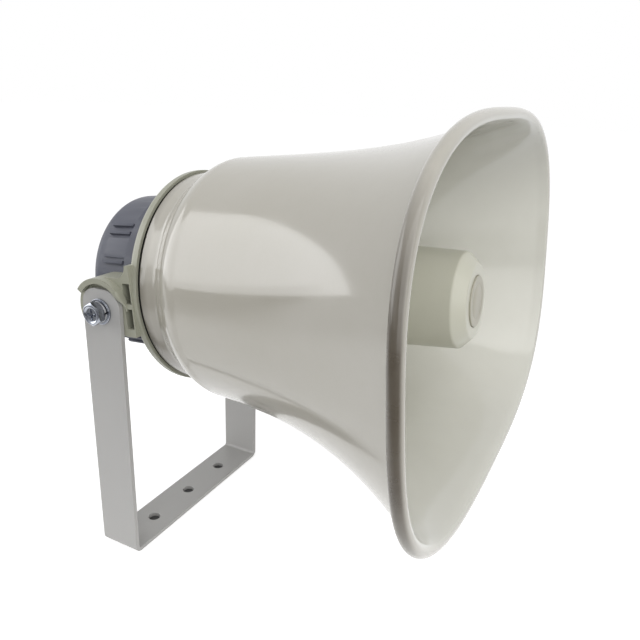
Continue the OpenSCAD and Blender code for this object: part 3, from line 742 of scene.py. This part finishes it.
def bolt_head(cols=144):
    """Rows of x, y, height: hexagon side, cone chamfer, rounded rim, dished top with the recess."""
    angle = np.linspace(0, 2 * np.pi, cols, endpoint=False)
    flats = hexagon_reach(angle, BOLT_AF)
    top_r = BOLT_AF / 2 - 0.45
    lean = (flats - top_r) * 0.55
    side = [(flats * 0.2, 0 * flats), (flats - 0.5, 0 * flats), (flats, 0 * flats + 0.35),
            (flats, HEAD_T - 0.2 - lean), (flats - 0.15, HEAD_T - 0.1 - lean),
            (0 * flats + top_r, 0 * flats + HEAD_T - 0.06)]
    reach = np.linspace(top_r - 0.12, 0.05, 34)[:, None] * np.ones(cols)
    x, y = reach * np.cos(angle), reach * np.sin(angle)
    dish = 0.75 * np.clip((top_r - 0.7 - reach) / 1.1, 0, 1) ** 0.8
    height = HEAD_T - dish - cross_depth(x, y, 3.6, 1.5, 2.0)
    r = np.concatenate([np.stack([s[0] for s in side]), reach])
    h = np.concatenate([np.stack([s[1] for s in side]), height])
    return r * np.cos(angle), r * np.sin(angle), h


def on_bolt(side, start, x, y, height):
    """Puts a shape made about an upright axis onto the tilt axis, facing out of the given side."""
    return to_world(x, side * (start + height), -y)


def capped(x, y, height, side, start):
    """Points and faces of a turned shape with a point closing either end."""
    rows, cols = x.shape
    points = on_bolt(side, start, x, y, height).reshape(-1, 3)
    ends = on_bolt(side, start, np.zeros(2), np.zeros(2), height[[0, -1]].mean(1))
    return np.concatenate([points, ends]), sheet_faces(rows, cols, side < 0)


def shank(length, radius, cols=48):
    """A screw's shank with a fine thread: the radius goes in and out once per turn of the helix."""
    z = np.linspace(0, length, int(length / 0.2))[:, None]
    angle = np.linspace(0, 2 * np.pi, cols, endpoint=False)
    reach = radius - 0.35 * np.abs(((z / 1.25 + angle / (2 * np.pi)) % 1.0) * 2 - 1)
    return reach * np.cos(angle), reach * np.sin(angle), z + 0 * angle


def joined(parts):
    """Puts several sets of points and faces into one."""
    points, faces, start = [], [], 0
    for p, f in parts:
        points.append(p)
        faces += [[i + start for i in face] for face in f]
        start += len(p)
    return np.concatenate(points), faces


# The shank's end, in mm from the object's middle along the tilt axis.
SHANK_END = 58.2
BOLT_LENGTH = HEAD_FROM - SHANK_END
for side, word in SIDES:
    head = capped(*bolt_head(), side, HEAD_FROM)
    thread = capped(*shank(BOLT_LENGTH, 3.95), side, HEAD_FROM - BOLT_LENGTH)
    bolt = make_piece("bolt_" + word + "_turned", *joined([head, thread]), zinc, "horn", sharp=28)
    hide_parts("bolt_" + word)
print("bolt heads of", BOLT_AF, "mm across the flats")

# %% [markdown]
# ## Washers
#
# Under each head lie a spring washer and a flat washer. The spring washer is a strip
# of square wire wound once, cut at a slant, so its two ends stand a little apart. The
# flat washer is stamped: one edge is rounded and the other one is sharp.

# %% Washers
SPRING_GAP = 0.16


def wire_ring(inner, outer, thick, lift, opening, turns=88):
    """A rounded square section carried round a circle, rising by lift from one end to the other."""
    u = np.linspace(0, 2 * np.pi, 16, endpoint=False)
    round_square = (np.abs(np.cos(u)) ** 5 + np.abs(np.sin(u)) ** 5) ** (-1 / 5)
    out = (inner + outer) / 2 + (outer - inner) / 2 * round_square * np.cos(u)
    up = (thick - lift) / 2 * (1 + round_square * np.sin(u))
    way = np.linspace(0, 1, turns)[:, None]
    angle = opening / 2 + way * (2 * np.pi - opening) + 0.06 * (up / thick - 0.5)
    return out * np.cos(angle), out * np.sin(angle), up + lift * way + 0 * angle


def ring_profile(inner, outer, thick, edge):
    """A flat ring whose upper outer edge is rounded by stamping."""
    corners = [(0, inner), (0, outer), (thick, outer), (thick, inner)]
    return rounded(corners, [0.08, 0.1, edge, 0.15], 5)


for side, word in SIDES:
    x, y, h = wire_ring(4.25, 6.9, SPRING_T, 0.35, SPRING_GAP)
    rows, cols = x.shape
    points = on_bolt(side, ARM_OUT + FACE_GAP + FLAT_T, x, y, h).reshape(-1, 3)
    faces = grid_faces(rows, cols, False, True).tolist()
    faces += [list(range(cols))[::-1], [(rows - 1) * cols + j for j in range(cols)]]
    faces = [f[::-1] for f in faces] if side > 0 else faces
    spring = make_piece("spring_" + word, points, faces, dull_zinc, "horn", sharp=35)
    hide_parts("spring_washer_" + word)
    turn = np.linspace(0, 2 * np.pi, 96, endpoint=False)
    prof = ring_profile(4.2, 8.2, FLAT_T, 0.35)
    up, out = prof[:, :1], prof[:, 1:]
    points = on_bolt(side, ARM_OUT + FACE_GAP, out * np.cos(turn), out * np.sin(turn), up)
    faces = grid_faces(len(prof), len(turn), True, True)
    washer = make_piece("washer_" + word, points.reshape(-1, 3),
                        faces if side > 0 else faces[:, ::-1], zinc, "horn", sharp=35)
    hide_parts("flat_washer_" + word)
print("spring washers open by", round(math.degrees(SPRING_GAP)), "degrees")

# %% [markdown]
# ## Small screws
#
# The cover is held by four long screws and the ring by six short ones, all with domed
# heads and a cross recess. They are the same shape at different places, so one
# function makes a screw and another sets copies of it round the horn's axis.

# %% Small screws
def pan_screw(length, shank_r=1.9, head_r=3.4, head_t=2.4, cols=72):
    """Rows from tip to middle of the head: a dome of sqrt(1 - (r/R)^2.6), cut by the recess."""
    angle = np.linspace(0, 2 * np.pi, cols, endpoint=False)
    z = np.linspace(length - 1.2, 0.0, int(length / 0.35))
    thread = shank_r - 0.22 * np.abs(((z[:, None] / 0.9 + angle / (2 * np.pi)) % 1.0) * 2 - 1)
    dome = np.linspace(head_r, 0.05, 26)[:, None] * np.ones(cols)
    x, y = dome * np.cos(angle), dome * np.sin(angle)
    high = head_t * (0.35 + 0.65 * np.sqrt(np.clip(1 - (dome / head_r) ** 2.6, 0, 1)))
    high = high - cross_depth(x, y, 2.1, 0.95, 1.5)
    reach = np.concatenate([[0 * angle + 0.4], thread, [0 * angle + head_r], dome])
    height = np.concatenate([[0 * angle + length], z[:, None] + 0 * angle, [0 * angle], -high])
    return reach * np.cos(angle), reach * np.sin(angle), height


def round_axis(x, y, s, count, first, pitch_r):
    """Copies of a shape at equal angles from straight down, each turned with its place."""
    parts = []
    for a in np.radians(first + np.arange(count) * 360.0 / count):
        sin_a, cos_a, far = np.sin(a), np.cos(a), pitch_r + x
        across, down = far * sin_a + y * cos_a, far * cos_a - y * sin_a
        points = to_world(s, across, AXIS_RISE - down).reshape(-1, 3)
        tips = to_world(s[[0, -1]].mean(1), pitch_r * sin_a, AXIS_RISE - pitch_r * cos_a)
        parts.append((np.concatenate([points, tips]), sheet_faces(*x.shape, True)))
    return joined(parts)


# Node, number, first angle in degrees, pitch radius, place of the head's seat and length in mm.
SCREW_SETS = [("cover_screws", 4, 45.0, 45.0, -28.0, 53.0),
              ("flange_screws", 6, 0.0, 60.2, 20.0, 16.0)]
for node, count, first, pitch_r, seat, length in SCREW_SETS:
    x, y, height = pan_screw(length)
    screws = make_piece(node + "_turned", *round_axis(x, y, seat + height, count, first, pitch_r),
                        dull_zinc, "horn", sharp=35)
    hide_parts(node)
print("screws:", [(s[0], s[1]) for s in SCREW_SETS])

# %% [markdown]
# ## The cable gland
#
# The cable leaves through a gland on the back of the cover: a hexagon foot, a fluted
# cap that is turned by hand, and a dome with the opening. The flutes are a wave in
# the radius that fades out at both ends of the cap. No cable is fitted here, so the
# rubber seal shows in the opening.

# %% Gland
COVER_BACK, GLAND_Z, GLAND_IN, FLUTES = 31.0, -26.0, 3.8, 18


def gland_rows(cols=144):
    """Rows of (reach, height) from the inside of the foot over the fluted cap into the opening."""
    angle = np.linspace(0, 2 * np.pi, cols, endpoint=False)
    foot = hexagon_reach(angle, 15.0)
    lean = (foot - 7.5) * 0.5
    flutes = 0.45 * np.clip(np.cos(FLUTES * angle), -0.2, 1)

    def ring(r, h):
        return r + 0 * angle, h + 0 * angle

    rows = [ring(GLAND_IN, -6.7), ring(5.9, -6.7), ring(5.9, 0.02), ring(foot - 0.3, 0.02),
            ring(foot, 0.3), ring(foot, 3.1 - lean), ring(7.2, 3.5), ring(6.5, 3.55),
            ring(6.5, 3.95), ring(6.75, 4.0)]
    for h, share in ((4.3, 0.6), (4.8, 1.0), (6.5, 1.0), (8.3, 1.0), (9.0, 0.5)):
        rows.append(ring(6.75 + flutes * share, h))
    for f in np.radians([15, 35, 55, 75, 88]):
        rows.append(ring(4.4 + 2.4 * np.cos(f), 9.5 + 2.45 * np.sin(f)))
    rows += [ring(4.05, 11.9), ring(GLAND_IN, 11.6), ring(GLAND_IN, 9.2), ring(GLAND_IN, 2.0)]
    return np.stack([r[0] for r in rows]), np.stack([r[1] for r in rows]), angle


reach, height, angle = gland_rows()
points = to_world(-COVER_BACK - height, reach * np.cos(angle),
                  AXIS_RISE + GLAND_Z + reach * np.sin(angle))
faces = grid_faces(*reach.shape, True, True)[:, ::-1]
gland = make_piece("gland_cap", points.reshape(-1, 3), faces, black_plastic, "horn", sharp=38)
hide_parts("gland_body")
print("gland with", FLUTES, "flutes,", reach.shape[0], "rows")

# %% [markdown]
# ## The stage
#
# The object stands on a white floor that runs out of sight, with large soft lamps.
# The floor shows white to the camera and to reflections, but it doesn't glow onto
# the object, and near the object a part of its brightness is lit, so the shadow
# stays. Lamps are described by where they are seen from the object and by how bright
# they look, since that is what a reflection in the glossy bell shows.

# %% Floor
# Half the width and half the length, in metres, of the patch that the bracket's base covers.
BASE_HALF = (0.0142, 0.068)


def maths_node(tree, operation, *values):
    """Adds a Math node on sockets or numbers, for the few sums of the stage."""
    n = tree.nodes.new("ShaderNodeMath")
    n.operation = operation
    for i, value in enumerate(values):
        if isinstance(value, (int, float)):
            n.inputs[i].default_value = value
        else:
            tree.links.new(value, n.inputs[i])
    return n.outputs[0]


def soft_step(tree, value, span, ends):
    """Goes smoothly from the first of ends to the second while value crosses span."""
    n = tree.nodes.new("ShaderNodeMapRange")
    n.interpolation_type = "SMOOTHSTEP"
    for key, number in zip(("From Min", "From Max", "To Min", "To Max"), (*span, *ends)):
        n.inputs[key].default_value = number
    tree.links.new(value, n.inputs["Value"])
    return n.outputs[0]


def seen_share(tree, mirror_share):
    """1 for camera and see-through rays, a share for mirror rays, 0 for rays that carry light."""
    path = tree.nodes.new("ShaderNodeLightPath")
    mirror = maths_node(tree, "MULTIPLY", path.outputs["Is Glossy Ray"], mirror_share)
    to_camera, clear = path.outputs["Is Camera Ray"], path.outputs["Is Transmission Ray"]
    straight = maths_node(tree, "MAXIMUM", to_camera, clear)
    return maths_node(tree, "MAXIMUM", straight, mirror)


def white_floor(size=8.0, lit_share=0.36, near_far=(0.3, 0.55), albedo=(0.86, 0.06),
                edge=(-0.45, -0.22), beyond=0.15, shade=0.15):
    """A plane at the mounting surface, whose own white is full far away and less near the object.

    The light that falls on it counts by its albedo, near and far. Mirrors see its white end at
    an edge in front of the object, as a sheet of paper ends in a real studio. Under the
    bracket's base it has no white of its own and its albedo is low, a painted shadow, so the
    base's holes look down into shade.
    """
    points = np.array([[-size, -size, 0], [size, -size, 0], [size, size, 0], [-size, size, 0]])
    mesh = bpy.data.meshes.new("floor")
    mesh.from_pydata(points, [], [[0, 1, 2, 3]])
    paint = bpy.data.materials.new("floor_white")
    paint.use_nodes = True
    tree = paint.node_tree
    tree.nodes.clear()
    where = tree.nodes.new("ShaderNodeTexCoord").outputs["Object"]
    length = tree.nodes.new("ShaderNodeVectorMath")
    length.operation = "LENGTH"
    tree.links.new(where, length.inputs[0])
    split = tree.nodes.new("ShaderNodeSeparateXYZ")
    tree.links.new(where, split.inputs[0])
    aside = [maths_node(tree, "ABSOLUTE", split.outputs[axis]) for axis in "XY"]
    covered = [maths_node(tree, "LESS_THAN", *pair) for pair in zip(aside, BASE_HALF)]
    open_floor = maths_node(tree, "SUBTRACT", 1.0, maths_node(tree, "MULTIPLY", *covered))
    own_white = soft_step(tree, length.outputs["Value"], near_far, (1 - lit_share, 1.0))
    bounce = soft_step(tree, length.outputs["Value"], near_far, albedo)
    paper = soft_step(tree, split.outputs["Y"], edge, (beyond, 1.0))
    lit = tree.nodes.new("ShaderNodeBsdfDiffuse")
    # Painted shadow: under the base the floor's albedo drops to the shade value.
    bare = maths_node(tree, "MAXIMUM", open_floor, shade)
    tree.links.new(maths_node(tree, "MULTIPLY", bounce, bare), lit.inputs["Color"])
    white = maths_node(tree, "MULTIPLY", seen_share(tree, paper), own_white)
    glow = tree.nodes.new("ShaderNodeEmission")
    tree.links.new(maths_node(tree, "MULTIPLY", white, open_floor), glow.inputs["Strength"])
    both = tree.nodes.new("ShaderNodeAddShader")
    tree.links.new(lit.outputs[0], both.inputs[0])
    tree.links.new(glow.outputs[0], both.inputs[1])
    end = tree.nodes.new("ShaderNodeOutputMaterial")
    tree.links.new(both.outputs[0], end.inputs[0])
    mesh.materials.append(paint)
    floor = bpy.data.objects.new("floor", mesh)
    bpy.context.scene.collection.objects.link(floor)
    return floor


floor = white_floor()
print("floor", round(floor.dimensions.x, 1), "m wide")

# %% Air and lamps
AIM = (0.08, 0.0, 0.17)


def studio_air(light=0.42, dark_side=(0.5, -0.8, 0.25), lobe=(0.55, 0.95), dark=0.72):
    """Even light from all round: white where it is seen, but darker on one side in mirrors."""
    world = bpy.data.worlds.new("studio")
    bpy.context.scene.world = world
    world.use_nodes = True
    tree = world.node_tree
    tree.nodes.clear()
    side = tree.nodes.new("ShaderNodeVectorMath")
    side.operation = "DOT_PRODUCT"
    tree.links.new(tree.nodes.new("ShaderNodeTexCoord").outputs["Generated"], side.inputs[0])
    side.inputs[1].default_value = tuple(np.array(dark_side) / np.linalg.norm(dark_side))
    room = soft_step(tree, side.outputs["Value"], lobe, (1.0, 1.0 - dark))
    only_light = maths_node(tree, "SUBTRACT", 1.0, seen_share(tree, 1.0))
    sky = tree.nodes.new("ShaderNodeBackground")
    even = maths_node(tree, "MULTIPLY", only_light, light)
    tree.links.new(maths_node(tree, "ADD", seen_share(tree, room), even), sky.inputs["Strength"])
    sky.inputs["Color"].default_value = (1, 1, 1, 1)
    end = tree.nodes.new("ShaderNodeOutputWorld")
    tree.links.new(sky.outputs[0], end.inputs[0])


def softbox(name, azimuth, elevation, far, size, bright):
    """A rectangular lamp aimed at the object, as bright as white times bright.

    The azimuth counts from the front, -Y. A flat lamp of area A looks as bright as its power
    over pi * A.
    """
    a, e = np.radians([azimuth, elevation])
    back = np.array([np.sin(a) * np.cos(e), -np.cos(a) * np.cos(e), np.sin(e)])
    lamp = bpy.data.lights.new(name, "AREA")
    lamp.shape, lamp.size, lamp.size_y = "RECTANGLE", *size
    lamp.energy = bright * math.pi * size[0] * size[1]
    side = np.cross([0.0, 0.0, 1.0], back)
    side /= np.linalg.norm(side)
    turn = np.eye(4)
    turn[:3, 0], turn[:3, 1], turn[:3, 2] = side, np.cross(back, side), back
    turn[:3, 3] = back * far + AIM
    lamp_object = bpy.data.objects.new(name, lamp)
    lamp_object.matrix_world = Matrix(turn.tolist())
    bpy.context.scene.collection.objects.link(lamp_object)


studio_air()
softbox("lamp_left", -68, 16, 1.3, (1.05, 0.95), 2.3)
softbox("lamp_top", 20, 78, 1.5, (1.3, 1.3), 0.15)
softbox("lamp_right", 58, 24, 1.6, (2.3, 2.3), 1.55)
bpy.context.scene.view_settings.view_transform = "Standard"
print("stage ready")

# %% [markdown] ## The end
